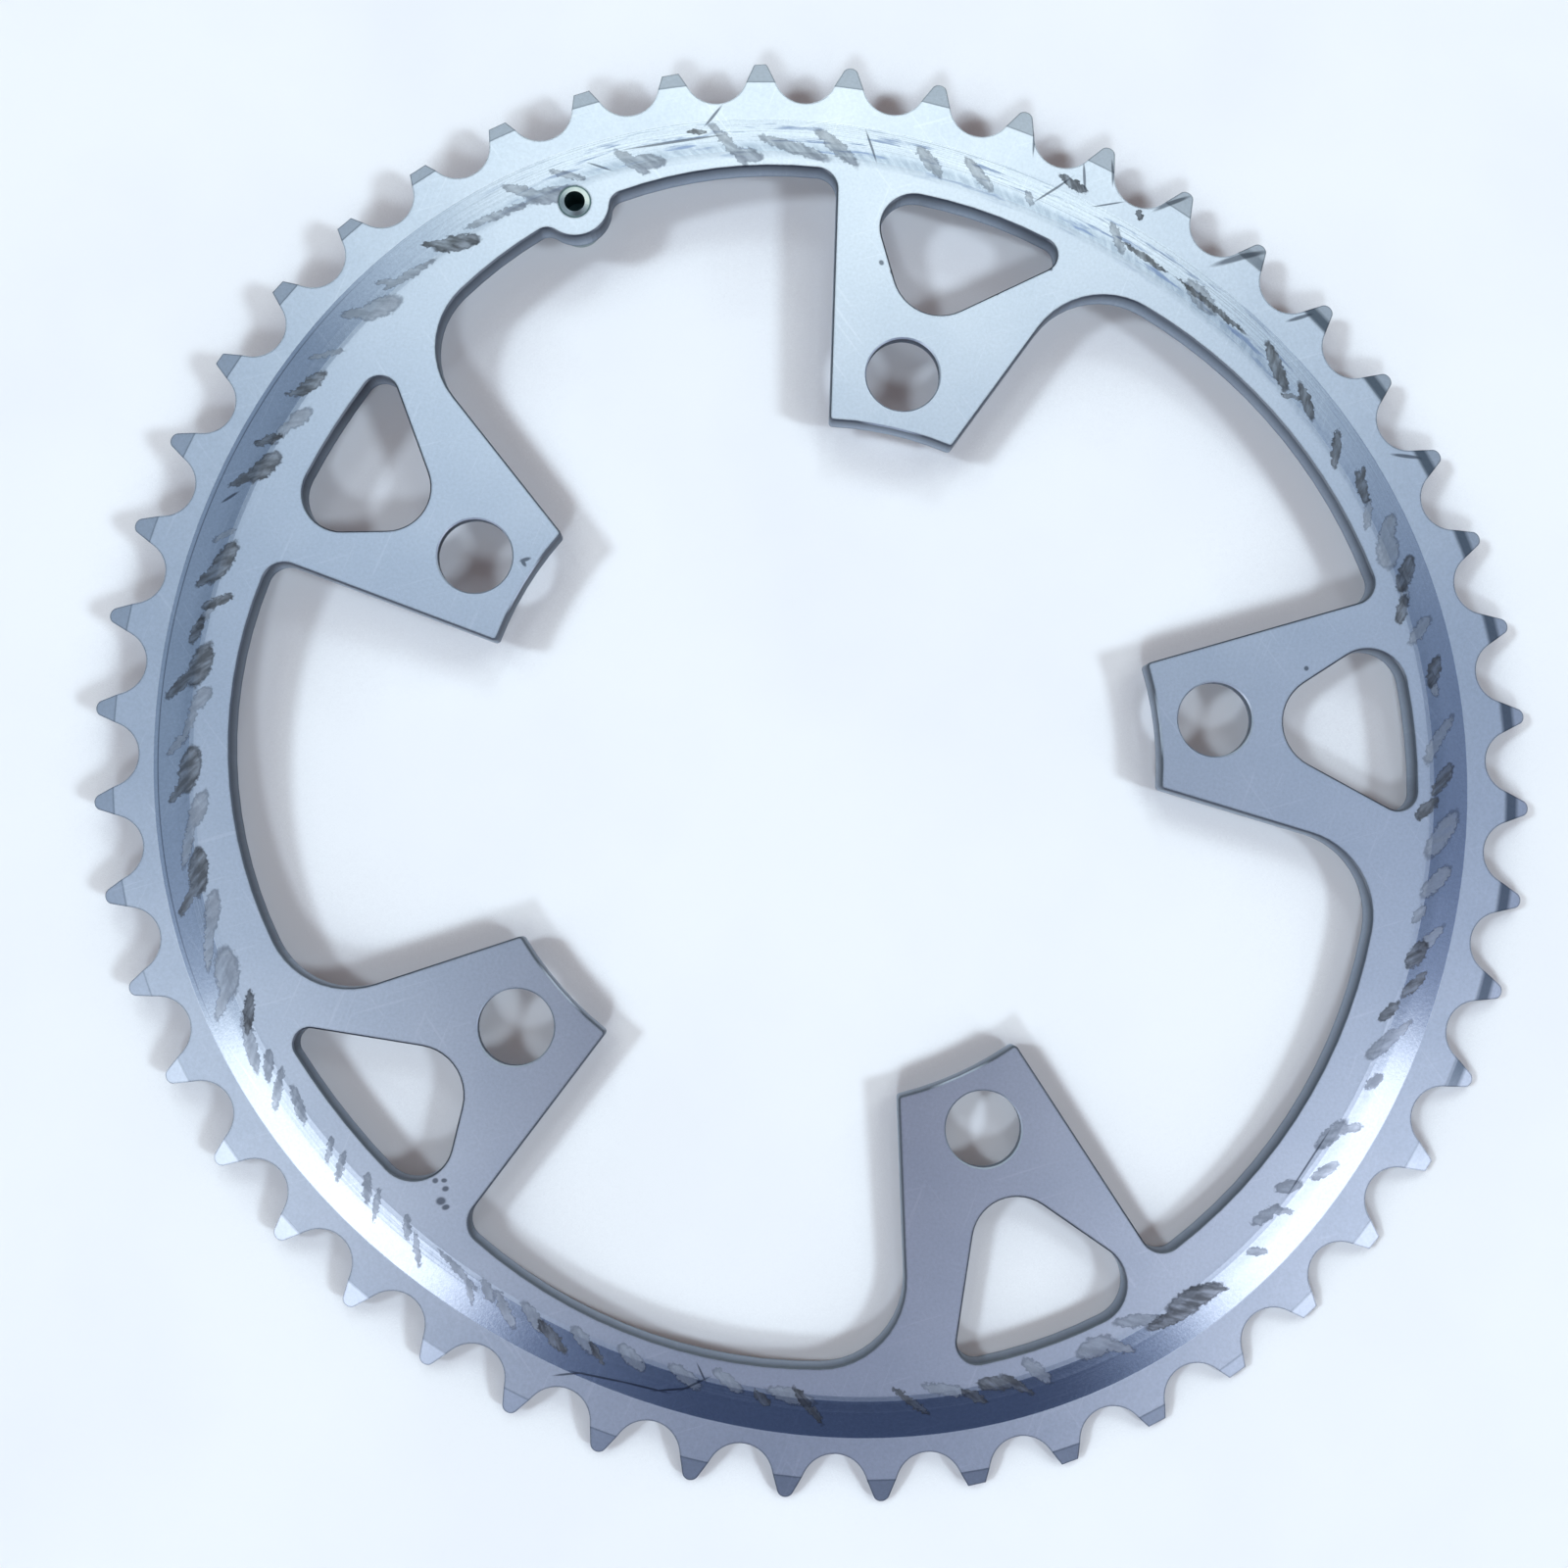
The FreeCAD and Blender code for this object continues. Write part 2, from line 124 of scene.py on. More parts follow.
# Wear where the chain rubs, each stroke as angle and radius of its start, of its end, and width
DARK_STROKES = (
    (7.0, 83.3, 8.3, 85.2, 1.1), (9.5, 85.5, 11.3, 87.3, 1.2), (19.6, 85.8, 21.3, 87.2, 1.3),
    (26.0, 83.3, 27.5, 84.6, 1.1), (29.0, 84.9, 30.8, 87.2, 1.5), (38.0, 84.9, 40.0, 85.6, 1.1),
    (39.4, 85.6, 40.4, 86.8, 0.5), (42.4, 83.6, 44.2, 85.9, 0.9), (47.6, 84.6, 49.8, 85.8, 1.1),
    (49.2, 84.6, 50.3, 83.2, 0.5), (51.5, 84.2, 54.4, 86.0, 1.3), (59.0, 84.9, 64.0, 84.7, 0.6),
    (67.8, 84.6, 70.8, 84.8, 0.6), (77.6, 89.4, 79.4, 89.9, 0.9), (71.6, 89.7, 72.1, 90.3, 0.6),
    (112.8, 90.3, 113.8, 90.6, 0.6), (136.2, 87.2, 138.6, 88.8, 1.6), (138.0, 88.6, 139.6, 90.4, 0.7),
    (155.0, 87.0, 157.0, 87.8, 1.4), (156.8, 87.6, 157.8, 89.0, 0.6), (161.8, 87.0, 163.0, 88.7, 0.9),
    (163.6, 85.7, 165.8, 87.0, 1.8), (165.6, 87.0, 167.2, 89.0, 0.9), (172.9, 85.6, 175.6, 86.6, 1.7),
    (175.2, 86.6, 176.6, 88.2, 1.0), (177.3, 84.0, 178.4, 86.2, 0.9), (180.0, 86.6, 181.6, 87.2, 1.0),
    (182.6, 85.0, 185.2, 85.8, 2.0), (184.6, 86.2, 186.6, 88.8, 1.0), (192.2, 85.2, 194.8, 86.0, 2.0),
    (194.6, 86.2, 196.0, 88.0, 0.8), (201.6, 85.1, 204.2, 85.9, 1.9), (204.0, 86.0, 205.8, 88.4, 0.9),
    (215.4, 83.4, 217.6, 85.0, 1.0), (256.4, 84.6, 258.6, 86.2, 1.0), (261.2, 84.4, 262.4, 85.8, 0.6),
    (276.6, 85.4, 277.6, 86.6, 0.7), (280.4, 85.2, 282.0, 88.2, 0.8), (289.4, 85.8, 291.2, 88.4, 0.7),
    (295.2, 87.2, 296.4, 88.8, 0.9), (297.0, 86.8, 299.0, 87.6, 1.4), (299.0, 87.0, 300.4, 89.4, 0.8),
    (313.0, 88.8, 316.0, 89.6, 1.3), (315.4, 88.2, 318.6, 89.2, 2.0), (318.0, 88.8, 319.4, 90.0, 0.7),
    (347.6, 84.8, 349.0, 85.8, 1.0), (350.6, 86.6, 352.4, 88.0, 1.0), (353.3, 85.8, 355.0, 86.8, 1.6),
)
PALE_STROKES = (
    (0.0, 85.6, 2.0, 87.8, 1.3), (4.0, 85.5, 6.8, 88.0, 1.6), (12.4, 84.4, 14.2, 85.8, 1.0),
    (13.2, 84.8, 15.6, 87.6, 0.9), (18.5, 86.2, 20.0, 86.0, 0.8), (23.8, 84.5, 25.2, 87.0, 1.0),
    (27.5, 84.8, 29.5, 85.2, 0.8), (31.5, 84.0, 33.5, 85.5, 2.0), (33.4, 84.6, 35.0, 87.0, 1.3),
    (35.6, 83.4, 37.2, 84.9, 0.7), (61.5, 84.3, 64.0, 85.2, 1.6), (71.8, 84.0, 73.3, 86.2, 0.8),
    (81.5, 84.2, 82.0, 85.5, 0.7), (86.0, 84.7, 88.0, 87.2, 1.0), (91.0, 84.8, 92.6, 87.4, 1.1),
    (99.4, 84.9, 101.8, 88.3, 1.2), (102.6, 85.3, 106.5, 87.6, 1.1), (108.2, 85.3, 110.0, 86.2, 1.2),
    (109.8, 85.6, 111.5, 90.0, 0.9), (117.4, 87.0, 119.6, 88.0, 1.3), (119.0, 86.6, 120.4, 89.6, 0.9),
    (124.8, 88.4, 126.4, 90.4, 0.6), (126.0, 86.8, 129.0, 88.0, 1.4), (128.6, 87.8, 130.6, 91.0, 0.9),
    (131.0, 88.0, 134.8, 88.8, 0.7), (141.0, 88.0, 144.2, 88.8, 0.7), (144.0, 88.8, 145.0, 90.3, 0.5),
    (145.4, 86.8, 147.8, 88.2, 1.7), (147.4, 88.0, 149.0, 90.0, 1.0), (152.2, 87.4, 153.8, 89.4, 0.5),
    (158.4, 85.4, 160.0, 86.2, 1.2), (160.0, 86.4, 162.0, 87.0, 0.8), (171.3, 86.5, 172.4, 88.0, 0.5),
    (178.4, 85.6, 180.2, 86.6, 0.6), (186.3, 84.0, 187.6, 85.2, 1.2), (187.5, 85.3, 190.2, 86.2, 0.7),
    (190.4, 86.4, 191.8, 88.2, 0.7), (196.2, 83.9, 198.2, 85.2, 1.3), (198.4, 85.6, 201.4, 87.0, 0.8),
    (205.6, 84.1, 208.0, 85.4, 1.2), (208.0, 85.5, 210.8, 87.0, 0.8), (211.0, 84.6, 213.8, 85.6, 2.0),
    (213.6, 85.6, 215.4, 88.0, 0.9), (217.4, 85.2, 220.8, 86.4, 1.0), (220.8, 84.2, 222.4, 85.6, 0.8),
    (223.0, 84.2, 224.8, 86.6, 0.7), (225.0, 83.7, 227.2, 84.6, 0.8), (230.6, 83.4, 231.6, 85.2, 0.5),
    (232.4, 83.4, 233.4, 85.6, 0.6), (235.4, 82.9, 236.6, 84.6, 0.7), (237.2, 83.4, 238.2, 85.6, 0.5),
    (240.6, 83.0, 241.6, 84.6, 0.6), (242.4, 84.2, 243.8, 86.2, 0.5),
    (245.6, 83.6, 248.6, 84.4, 0.5), (248.4, 84.4, 249.6, 86.2, 0.5), (249.8, 83.4, 251.0, 84.6, 0.8),
    (251.6, 84.0, 253.6, 86.0, 0.8), (254.3, 83.4, 256.2, 84.8, 1.0), (259.4, 83.4, 261.0, 84.8, 1.0),
    (264.0, 83.4, 265.8, 84.8, 1.1), (269.0, 84.0, 271.0, 85.4, 1.1), (273.0, 83.5, 274.8, 85.0, 0.9),
    (278.3, 85.0, 281.0, 86.0, 1.2), (292.2, 85.6, 294.6, 87.0, 0.9), (301.2, 86.0, 302.2, 88.6, 1.0),
    (306.2, 87.4, 308.4, 87.6, 1.6), (307.6, 87.0, 309.6, 89.6, 0.9), (310.5, 86.2, 313.0, 88.0, 1.0),
    (323.3, 88.6, 324.2, 89.8, 0.7), (325.6, 86.2, 327.4, 86.8, 0.9), (327.4, 86.8, 328.2, 88.4, 0.6),
    (329.2, 85.4, 330.4, 86.8, 1.0), (332.2, 88.2, 333.8, 89.2, 0.9), (334.8, 86.0, 337.0, 86.8, 1.2),
    (336.6, 87.0, 337.8, 88.8, 0.7), (341.4, 87.2, 342.6, 88.0, 0.8), (344.2, 85.6, 346.4, 87.0, 1.2),
    (346.0, 87.0, 347.8, 88.4, 0.7), (355.0, 86.8, 356.8, 88.6, 0.9), (357.2, 84.8, 358.4, 85.6, 0.8),
)
# How near its middle a stroke's edge lies, from 0 far off to 1 on it, and on the same scale where
# the stroke has faded out and where its border lies
STROKE_EDGE = 0.3
STROKE_FADED = 0.14
BORDER_START, BORDER_END = 0.16, 0.32
# How much longer and wider than its mark a stroke's oval is, because its ends are round
STROKE_LENGTHENED, STROKE_WIDENED = 1.45, 1.35
# The worn ring's pattern is unrolled at this radius, its streaks slant by this angle in radians,
# and the strokes' edges wander this far, in millimetres
WORN_RADIUS = 90.0
STREAK_SLANT = -0.8
RAGGEDNESS = 1.3
# Scratches and nicks, thin and dark
NICKS = (
    (259.4, 89.8, 261.0, 88.5, 0.22), (261.0, 88.5, 265.0, 87.6, 0.22), (265.0, 87.6, 268.2, 87.4, 0.22),
    (268.0, 87.4, 270.2, 86.3, 0.22), (270.1, 86.4, 271.8, 84.5, 0.22), (271.8, 84.6, 271.0, 83.0, 0.2),
    (79.2, 89.5, 80.8, 85.5, 0.26), (77.4, 89.9, 78.2, 92.5, 0.3), (74.0, 90.1, 75.6, 88.2, 0.2),
    (111.0, 93.4, 112.2, 91.6, 0.3), (112.6, 89.3, 118.5, 89.9, 0.3), (330.4, 86.5, 335.0, 85.9, 0.2),
    (97.0, 85.5, 97.8, 88.8, 0.25), (122.0, 88.0, 123.2, 89.6, 0.25), (168.0, 88.2, 169.0, 89.3, 0.3),
    (61.4, 95.9, 63.3, 91.0, 0.7), (69.3, 95.9, 70.6, 92.4, 0.5), (54.6, 94.0, 55.3, 91.6, 0.4),
    (39.2, 94.6, 40.2, 92.2, 0.4), (75.4, 92.5, 76.1, 95.0, 0.25), (82.9, 92.0, 83.4, 95.0, 0.25),
    (95.0, 70.1, 95.3, 70.5, 0.5), (93.7, 69.0, 93.9, 69.4, 0.4), (81.3, 70.0, 81.7, 70.3, 0.5),
    (76.9, 76.3, 77.2, 76.6, 0.4), (22.7, 68.6, 23.0, 68.9, 0.5), (240.0, 76.6, 240.3, 76.9, 0.6),
    (240.7, 75.8, 240.9, 76.1, 0.6), (241.3, 76.5, 241.6, 76.8, 0.7), (241.7, 78.0, 242.1, 78.5, 1.0),
    (242.5, 78.3, 242.8, 78.6, 0.8), (157.9, 48.5, 158.9, 49.2, 0.4), (158.8, 49.2, 159.2, 48.4, 0.4),
)


def linear(code):
    """A hex sRGB colour as linear RGBA."""
    channels = [int(code[i:i + 2], 16) / 255 for i in (1, 3, 5)]
    return [c / 12.92 if c <= 0.04045 else ((c + 0.055) / 1.055) ** 2.4 for c in channels] + [1.0]


def add(tree, kind, inputs=None, **settings):
    """Adds a node; an input is a number, a colour, or another node or socket to link from."""
    node = tree.nodes.new("ShaderNode" + kind)
    for name, value in settings.items():
        setattr(node, name, value)
    for key, value in (inputs or {}).items():
        if isinstance(value, bpy.types.Node):
            value = value.outputs[0]
        if isinstance(value, bpy.types.NodeSocket):
            tree.links.new(value, node.inputs[key])
        else:
            node.inputs[key].default_value = value
    return node


def new_material(name):
    """A material with an empty node tree, and the tree."""
    material = bpy.data.materials.new(name)
    material.use_nodes = True
    material.node_tree.nodes.clear()
    return material, material.node_tree


def photograph_camera():
    """Camera at the photograph's viewpoint, about 0.2 m above the ring."""
    bpy.ops.object.camera_add()
    camera = bpy.context.object
    camera.name = "photograph_camera"
    right, up = Vector(CAMERA_RIGHT), Vector(CAMERA_UP)
    turn = Matrix((right, up, right.cross(up))).transposed().to_4x4()
    camera.matrix_world = Matrix.Translation(CAMERA_PLACE) @ turn
    camera.data.sensor_width = SENSOR_WIDTH
    camera.data.lens = FOCAL_LENGTH
    camera.data.clip_start = 0.01
    bpy.context.scene.camera = camera


def tabletop():
    """Pale table under the pin's end and the far rim, as the ring lies on it."""
    slope = (PIN_END - RIM_FACE) / (PIN_REACH + RIM_REACH)
    height = RIM_FACE + slope * RIM_REACH
    towards = math.radians(PIN_ANGLE)
    normal = Vector((-slope * math.cos(towards), -slope * math.sin(towards), 1)).normalized()
    bpy.ops.mesh.primitive_plane_add(size=TABLE_SIZE)
    table = bpy.context.object
    table.name = "tabletop"
    turn = normal.to_track_quat("Z", "Y").to_matrix().to_4x4()
    table.data.transform(Matrix.Translation((0, 0, height)) @ turn)
    return table


def table_lamps():
    """The room's light on the matt table. The metal already mirrors the room's bright parts, so it
    doesn't mirror these lamps as well."""
    for azimuth, elevation, strength in TABLE_LAMPS:
        across, up = math.radians(azimuth), math.radians(elevation)
        towards = Vector((math.cos(across) * math.cos(up), math.sin(across) * math.cos(up),
                          math.sin(up)))
        bpy.ops.object.light_add(type="SUN")
        lamp = bpy.context.object
        lamp.name = f"table_lamp_{azimuth:.0f}"
        lamp.matrix_world = towards.to_track_quat("Z", "Y").to_matrix().to_4x4()
        lamp.data.angle = math.radians(LAMP_WIDTH)
        lamp.data.energy = strength
        lamp.data.color = LAMP_COLOUR
        lamp.visible_glossy = False


def white_laminate():
    """White laminated tabletop, pressed smooth and matt, so it shows soft shadows and a faint
    unevenness. It darkens next to the ring, where less of the room reaches it."""
    material, tree = new_material("white_laminate")
    place = add(tree, "TexCoord").outputs["Object"]

    # Faint unevenness, in patches of 45 mm
    cloud = add(tree, "TexNoise", {"Vector": place, "Scale": 22.0, "Detail": 3.0})
    colour = add(tree, "ValToRGB", {"Fac": cloud.outputs["Fac"]})
    colour.color_ramp.elements[0].position = 0.35
    colour.color_ramp.elements[0].color = linear("#EAECEE")
    colour.color_ramp.elements[1].position = 0.6
    colour.color_ramp.elements[1].color = linear("#EEF0F2")

    # The painted shadow next to the ring shows to the eye alone, so that the light on the ring stays as
    # it is
    open_room = add(tree, "AmbientOcclusion", {"Distance": SHADE_REACH}, samples=8)
    near = add(tree, "MapRange", {"Value": open_room.outputs["AO"], "From Min": SHADE_START,
                                  "From Max": SHADE_FULL})
    shaded = add(tree, "Mix", {0: near.outputs[0], 6: colour.outputs["Color"], 7: linear("#CCCCD0")},
                 data_type="RGBA")
    path = add(tree, "LightPath")
    plain = add(tree, "BsdfDiffuse", {"Color": colour.outputs["Color"]})
    shader = add(tree, "BsdfDiffuse", {"Color": shaded.outputs[2]})
    shader = add(tree, "MixShader", {0: path.outputs["Is Camera Ray"], 1: plain, 2: shader})

    seen = add(tree, "Math", {0: path.outputs["Is Camera Ray"], 1: path.outputs["Is Glossy Ray"]},
               operation="MAXIMUM")
    lift = add(tree, "Math", {0: seen, 1: TABLE_GLOW}, operation="MULTIPLY")
    glow = add(tree, "Emission", {"Color": linear("#FFF6F0"), "Strength": lift})
    both = add(tree, "AddShader", {0: shader, 1: glow})
    add(tree, "OutputMaterial", {"Surface": both})
    return material


def fill_ramp(ramp, stops):
    """Puts cool grey stops, as (position, brightness), on a colour ramp."""
    for _ in stops[2:]:
        ramp.elements.new(0.5)
    for element, (place, level) in zip(ramp.elements, stops):
        element.position = place
        red, blue = level ** RED_POWER * RED_SHARE, level ** BLUE_POWER * BLUE_SHARE
        element.color = (red, level, blue, 1.0)


def room_sides(tree, way):
    """The room's light round the horizon, dimmer below the sill on the far side."""
    azimuth = add(tree, "Math", {0: way.outputs["Y"], 1: way.outputs["X"]}, operation="ARCTAN2")
    share = add(tree, "MapRange", {"Value": azimuth, "From Min": -math.pi, "From Max": math.pi})
    sides = add(tree, "ValToRGB", {"Fac": share.outputs[0]})
    fill_ramp(sides.color_ramp, ROOM_SIDES)
    lifted = add(tree, "MapRange", {"Value": way.outputs["Z"], "From Min": SILL_FOOT,
                                    "From Max": SILL_TOP, "To Min": BELOW_SILL})
    far = add(tree, "MapRange", {"Value": way.outputs["Y"], "From Min": FAR_SIDE_START,
                                 "From Max": FAR_SIDE_END})
    dimmed = add(tree, "Mix", {0: far.outputs[0], 2: 1.0, 3: lifted.outputs[0]})
    return add(tree, "VectorMath", {0: sides.outputs["Color"], "Scale": dimmed.outputs[0]},
               operation="SCALE")


def room_ceiling(tree, heading):
    """The room's light overhead, from the near side to the far side, with its patches."""
    rise = add(tree, "VectorMath", {0: heading, 1: CEILING_WAY}, operation="DOT_PRODUCT")
    rise = add(tree, "MapRange", {"Value": rise.outputs["Value"], "From Min": -0.5, "From Max": 0.5})
    ceiling = add(tree, "ValToRGB", {"Fac": rise.outputs[0]})
    fill_ramp(ceiling.color_ramp, ROOM_CEILING)
    overhead = ceiling.outputs["Color"]
    for centre, size, level in OVERHEAD_PATCHES:
        ball = add(tree, "TexGradient", {"Vector": heading}, gradient_type="SPHERICAL")
        ball.texture_mapping.vector_type = "TEXTURE"
        ball.texture_mapping.translation = centre
        ball.texture_mapping.scale = size
        within = add(tree, "MapRange", {"Value": ball.outputs["Fac"], "From Max": PATCH_FULL},
                     interpolation_type="SMOOTHSTEP")
        patch = add(tree, "Mix", {0: within.outputs[0], 6: WHITE, 7: level}, data_type="RGBA")
        overhead = add(tree, "VectorMath", {0: overhead, 1: patch.outputs[2]},
                       operation="MULTIPLY").outputs[0]
    return overhead


def room_light():
    """The room as the metal mirrors it: bright low on two sides and far off, dark between them and
    overhead. The table takes only a weak fill from it, and the camera sees it pale."""
    world = bpy.data.worlds.new("room_light")
    bpy.context.scene.world = world
    world.use_nodes = True
    tree = world.node_tree
    tree.nodes.clear()
    heading = add(tree, "TexCoord").outputs["Generated"]
    way = add(tree, "SeparateXYZ", {0: heading})
    sides = room_sides(tree, way)
    overhead = room_ceiling(tree, heading)
    high = add(tree, "MapRange", {"Value": way.outputs["Z"], "From Min": CEILING_FOOT,
                                  "From Max": CEILING_TOP}, interpolation_type="SMOOTHSTEP")
    room = add(tree, "Mix", {0: high.outputs[0], 6: sides, 7: overhead}, data_type="RGBA")
    above = add(tree, "MapRange", {"Value": way.outputs["Z"], "From Min": HORIZON_FOOT,
                                   "From Max": HORIZON_TOP})
    room = add(tree, "Mix", {0: above.outputs[0], 6: HORIZON, 7: room.outputs[2]},
               data_type="RGBA")
    beyond = add(tree, "VectorMath", {0: heading, 1: TINT_WAY}, operation="DOT_PRODUCT")
    beyond = add(tree, "MapRange", {"Value": beyond.outputs["Value"], "From Min": TINT_START,
                                    "From Max": TINT_END})
    tint = add(tree, "Mix", {0: beyond.outputs[0], 6: NEAR_TINT, 7: FAR_TINT}, data_type="RGBA")
    tinted = add(tree, "VectorMath", {0: room.outputs[2], 1: tint.outputs[2]}, operation="MULTIPLY")
    bright = add(tree, "VectorMath", {0: tinted, "Scale": ROOM_LEVEL}, operation="SCALE")

    # What the metal mirrors, what lights the matt table, and what the eye sees behind it
    mirrored = add(tree, "Background", {"Color": bright.outputs[0], "Strength": 1.0})
    fill = add(tree, "Background", {"Color": TABLE_FILL, "Strength": 1.0})
    pale = add(tree, "Background", {"Color": linear("#F4F7FB"), "Strength": 1.0})
    path = add(tree, "LightPath")
    shown = add(tree, "MixShader", {0: path.outputs["Is Diffuse Ray"], 1: mirrored, 2: fill})
    shown = add(tree, "MixShader", {0: path.outputs["Is Camera Ray"], 1: shown, 2: pale})
    add(tree, "OutputWorld", {"Surface": shown})


def strokes(tree, place, marks, widened=1.0):
    """How near a place is to the middle of a stroke: 1 there, STROKE_EDGE at its edge, 0 beyond."""
    nearest = 0.0
    reach = 2 * (1 - STROKE_EDGE)
    for start_angle, start_radius, end_angle, end_radius, width in marks:
        first, last = math.radians(start_angle), math.radians(end_angle)
        start = Vector((math.cos(first), math.sin(first))) * start_radius
        end = Vector((math.cos(last), math.sin(last))) * end_radius
        middle, along = (start + end) / 2, end - start
        ball = add(tree, "TexGradient", {"Vector": place}, gradient_type="SPHERICAL")
        ball.texture_mapping.vector_type = "TEXTURE"
        ball.texture_mapping.translation = (*middle, 0.0)
        ball.texture_mapping.rotation = (0.0, 0.0, math.atan2(along.y, along.x))
        ball.texture_mapping.scale = (along.length * STROKE_LENGTHENED / reach,
                                      width * STROKE_WIDENED * widened / reach, 1.0)
        nearest = add(tree, "Math", {0: nearest, 1: ball.outputs["Fac"]}, operation="MAXIMUM")
    return nearest


def between(tree, value, low, high, soft):
    """1 where the value lies between low and high, with soft borders."""
    inside = add(tree, "MapRange", {"Value": value, "From Min": low - soft, "From Max": low + soft})
    beyond = add(tree, "MapRange", {"Value": value, "From Min": high - soft, "From Max": high + soft})
    return add(tree, "Math", {0: inside.outputs[0], 1: beyond.outputs[0]}, operation="SUBTRACT")


def rim_depth(tree, flat):
    """Depth inside the pitch curve, in millimetres, and the direction from the turning centre."""
    centred = add(tree, "VectorMath", {0: flat, 1: TURNING_CENTRE}, operation="SUBTRACT")
    part = add(tree, "SeparateXYZ", {0: centred})
    angle = add(tree, "Math", {0: part.outputs["Y"], 1: part.outputs["X"]}, operation="ARCTAN2")
    radius = add(tree, "VectorMath", {0: centred}, operation="LENGTH").outputs["Value"]
    curve = MEAN_RADIUS
    for count, swell, peak in ((2, LOBE_SWELL, LOBE_ANGLE), (4, CORNER_SWELL, CORNER_ANGLE)):
        phase = add(tree, "Math", {0: angle, 1: count, 2: -count * math.radians(peak)},
                    operation="MULTIPLY_ADD")
        wave = add(tree, "Math", {0: phase}, operation="COSINE")
        curve = add(tree, "Math", {0: wave, 1: swell, 2: curve}, operation="MULTIPLY_ADD")
    return add(tree, "Math", {0: curve, 1: radius}, operation="SUBTRACT"), angle


def fine_scratches(tree, flat):
    """Hair lines 0.1 mm wide in three directions, each with its turn and place in the pattern."""
    hairs = None
    for turn, seed in ((0.5, 3.0), (1.4, 11.0), (2.4, 23.0)):
        drawn = add(tree, "Mapping", {"Vector": flat, "Location": (seed, -seed, seed),
                                      "Rotation": (0.0, 0.0, turn), "Scale": (18.0, 0.6, 1.0)},
                    vector_type="TEXTURE")
        lines = add(tree, "TexNoise", {"Vector": drawn, "Scale": 1.0, "Detail": 2.0,
                                       "Distortion": 0.1})
        line = add(tree, "MapRange", {"Value": lines.outputs["Fac"], "From Min": 0.66,
                                      "From Max": 0.72})
        hairs = line if hairs is None else add(tree, "Math", {0: hairs, 1: line.outputs[0]},
                                               operation="MAXIMUM")
    return hairs


def unrolled_rim(tree, depth, angle):
    """The rim unrolled to a strip, in millimetres along it and across it."""
    around = add(tree, "Math", {0: angle, 1: WORN_RADIUS}, operation="MULTIPLY")
    return add(tree, "CombineXYZ", {"X": around, "Y": depth})


def sliding_streaks(tree, strip):
    """Streaks along the way the chain slid, 0.8 mm wide and 2.8 mm long."""
    drawn = add(tree, "Mapping", {"Vector": strip, "Rotation": (0.0, 0.0, STREAK_SLANT),
                                  "Scale": (2.8, 0.8, 1.0)}, vector_type="TEXTURE")
    streak = add(tree, "TexNoise", {"Vector": drawn, "Scale": 1.0, "Detail": 3.0})
    return add(tree, "MapRange", {"Value": streak.outputs["Fac"], "From Min": 0.36,
                                  "From Max": 0.6, "To Min": 0.6, "To Max": 1.0}).outputs[0]


def ragged_places(tree, flat):
    """Places pushed about in steps of 0.6 mm, so that what is drawn on them has ragged edges."""
    wander = add(tree, "TexNoise", {"Vector": flat, "Scale": 1.7, "Detail": 4.0})
    pushed = add(tree, "VectorMath", {0: wander.outputs["Color"], 1: (0.5, 0.5, 0.5)},
                 operation="SUBTRACT")
    return add(tree, "VectorMath", {0: pushed, 1: (RAGGEDNESS, RAGGEDNESS, 0.0), 2: flat},
               operation="MULTIPLY_ADD")


def rub_marks(tree, place, streak, inner_side, marks, widened, full):
    """Rubbed strokes on the inner side: their streaky middles, and their borders."""
    near = strokes(tree, place, marks, widened)
    middle = add(tree, "MapRange", {"Value": near, "From Min": STROKE_FADED, "From Max": full},
                 interpolation_type="SMOOTHSTEP")
    middle = add(tree, "Math", {0: middle.outputs[0], 1: streak}, operation="MULTIPLY")
    middle = add(tree, "Math", {0: middle, 1: inner_side}, operation="MULTIPLY")
    border = between(tree, near, BORDER_START, BORDER_END, 0.05)
    return middle, add(tree, "Math", {0: border, 1: inner_side}, operation="MULTIPLY")


def nicks(tree, flat, inner_side):
    """Thin scratches and nicks on the inner side."""
    near = strokes(tree, flat, NICKS)
    nick = add(tree, "MapRange", {"Value": near, "From Min": 0.15, "From Max": 0.5})
    return add(tree, "Math", {0: nick.outputs[0], 1: inner_side}, operation="MULTIPLY")


def tool_line(tree, depth, angle):
    """Thin line inside the cone's foot, which shows on the left side of the ring only."""
    line = between(tree, depth, TOOL_LINE_START, TOOL_LINE_END, 0.06)
    left = add(tree, "Math", {0: angle}, operation="COSINE")
    left = add(tree, "MapRange", {"Value": left, "From Min": -0.8, "From Max": -0.92})
    return add(tree, "Math", {0: line, 1: left.outputs[0]}, operation="MULTIPLY")


def far_scuffs(tree, strip, depth, angle):
    """Scuffs along the far side of the cone, and that side itself."""
    drawn = add(tree, "Mapping", {"Vector": strip, "Scale": (0.13, 1.0, 1.0)})
    scuff = add(tree, "TexNoise", {"Vector": drawn, "Scale": 1.0, "Detail": 4.0, "Roughness": 0.55})
    scuff = add(tree, "MapRange", {"Value": scuff.outputs["Fac"], "From Min": 0.55, "From Max": 0.64})
    far = add(tree, "Math", {0: angle}, operation="SINE")
    far = add(tree, "MapRange", {"Value": far, "From Min": 0.68, "From Max": 0.85})
    scuff = add(tree, "Math", {0: scuff.outputs[0], 1: far.outputs[0]}, operation="MULTIPLY")
    rubbed = between(tree, depth, BAND_DEPTH + 0.5, WEB_DEPTH, 0.8)
    return add(tree, "Math", {0: scuff, 1: rubbed}, operation="MULTIPLY"), far


